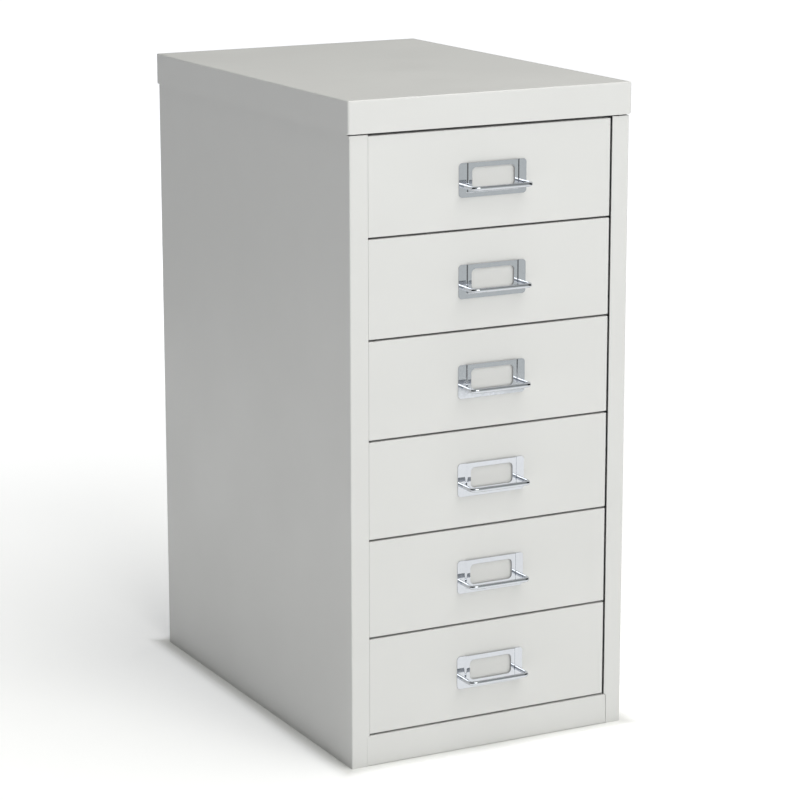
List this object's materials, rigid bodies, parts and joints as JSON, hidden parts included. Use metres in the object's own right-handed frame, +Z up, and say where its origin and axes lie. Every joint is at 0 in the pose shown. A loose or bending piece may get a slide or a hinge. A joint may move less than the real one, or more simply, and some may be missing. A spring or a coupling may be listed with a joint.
{
  "type": "drawer cabinet",
  "caption": "Small painted steel cabinet with a stack of shallow sliding drawers for paper, each with a chrome label plate and a bent wire pull, under a folded lid.",
  "frame": {"origin": "middle of the flat base, on the surface that the cabinet stands on", "axes": "+Z up, -Y out of the drawers' fronts, +X to the cabinet's right as the picture's viewer sees it"},
  "size_m": [0.279, 0.4285, 0.59],
  "materials": {
    "painted_steel": "warm light grey paint, satin, fine and even",
    "chrome_plate": "bright chrome plating",
    "plated_steel": "dull zinc plating"
  },
  "bodies": {
    "cabinet": {"lid": "painted_steel", "left_side_panel": "painted_steel", "right_side_panel": "painted_steel", "back_panel": "painted_steel", "base_panel": "painted_steel", "plinth": "painted_steel", "top_front_rail": "painted_steel", "front_left_pillar": "plated_steel", "front_right_pillar": "plated_steel", "rear_left_pillar": "plated_steel", "rear_right_pillar": "plated_steel", "left_runner_1": "plated_steel", "right_runner_1": "plated_steel", "left_runner_2": "plated_steel", "right_runner_2": "plated_steel", "left_runner_3": "plated_steel", "right_runner_3": "plated_steel", "left_runner_4": "plated_steel", "right_runner_4": "plated_steel", "left_runner_5": "plated_steel", "right_runner_5": "plated_steel", "left_runner_6": "plated_steel", "right_runner_6": "plated_steel"},
    "drawer_1": {"drawer_tray_1": "painted_steel", "drawer_front_1": "painted_steel", "label_plate_1": "chrome_plate", "wire_pull_1": "chrome_plate", "pull_retainers_1": "plated_steel"},
    "drawer_2": {"drawer_tray_2": "painted_steel", "drawer_front_2": "painted_steel", "label_plate_2": "chrome_plate", "wire_pull_2": "chrome_plate", "pull_retainers_2": "plated_steel"},
    "drawer_3": {"drawer_tray_3": "painted_steel", "drawer_front_3": "painted_steel", "label_plate_3": "chrome_plate", "wire_pull_3": "chrome_plate", "pull_retainers_3": "plated_steel"},
    "drawer_4": {"drawer_tray_4": "painted_steel", "drawer_front_4": "painted_steel", "label_plate_4": "chrome_plate", "wire_pull_4": "chrome_plate", "pull_retainers_4": "plated_steel"},
    "drawer_5": {"drawer_tray_5": "painted_steel", "drawer_front_5": "painted_steel", "label_plate_5": "chrome_plate", "wire_pull_5": "chrome_plate", "pull_retainers_5": "plated_steel"},
    "drawer_6": {"drawer_tray_6": "painted_steel", "drawer_front_6": "painted_steel", "label_plate_6": "chrome_plate", "wire_pull_6": "chrome_plate", "pull_retainers_6": "plated_steel"}
  },
  "joints": [
    {"name": "drawer_1_slide", "type": "slide", "parent": "cabinet", "child": "drawer_1", "axis": [0, -1, 0], "range_m": [0, 0.295]},
    {"name": "drawer_2_slide", "type": "slide", "parent": "cabinet", "child": "drawer_2", "axis": [0, -1, 0], "range_m": [0, 0.295]},
    {"name": "drawer_3_slide", "type": "slide", "parent": "cabinet", "child": "drawer_3", "axis": [0, -1, 0], "range_m": [0, 0.295]},
    {"name": "drawer_4_slide", "type": "slide", "parent": "cabinet", "child": "drawer_4", "axis": [0, -1, 0], "range_m": [0, 0.295]},
    {"name": "drawer_5_slide", "type": "slide", "parent": "cabinet", "child": "drawer_5", "axis": [0, -1, 0], "range_m": [0, 0.295]},
    {"name": "drawer_6_slide", "type": "slide", "parent": "cabinet", "child": "drawer_6", "axis": [0, -1, 0], "range_m": [0, 0.295]}
  ]
}
